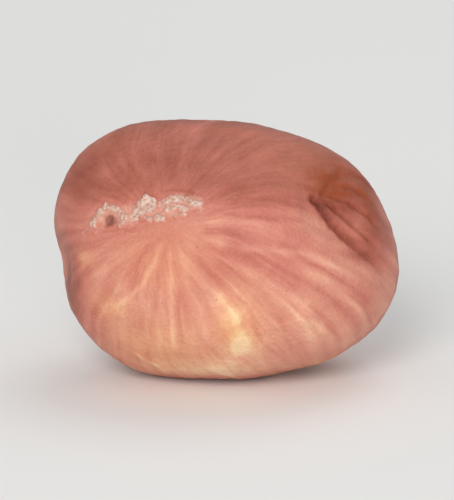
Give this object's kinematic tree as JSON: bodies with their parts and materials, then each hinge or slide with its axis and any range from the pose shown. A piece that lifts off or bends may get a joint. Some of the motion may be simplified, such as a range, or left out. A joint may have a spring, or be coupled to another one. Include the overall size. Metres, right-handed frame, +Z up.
{
  "type": "hazelnut kernel",
  "caption": "Shelled hazelnut kernel with its brown veined skin on, lying on a small flat spot on its underside.",
  "frame": {"origin": "middle of the bounding box, at the level of the flat spot that the kernel lies on", "axes": "+Z up, the scar at the kernel's base faces -Y, the widest way lies along X"},
  "size_m": [0.0178, 0.014, 0.0131],
  "materials": {
    "kernel_skin": "thin dry papery skin, satin to matt, reddish brown with paler streaks and a whitish scar"
  },
  "bodies": {
    "root": {"hazelnut_kernel": "kernel_skin"}
  },
  "joints": []
}
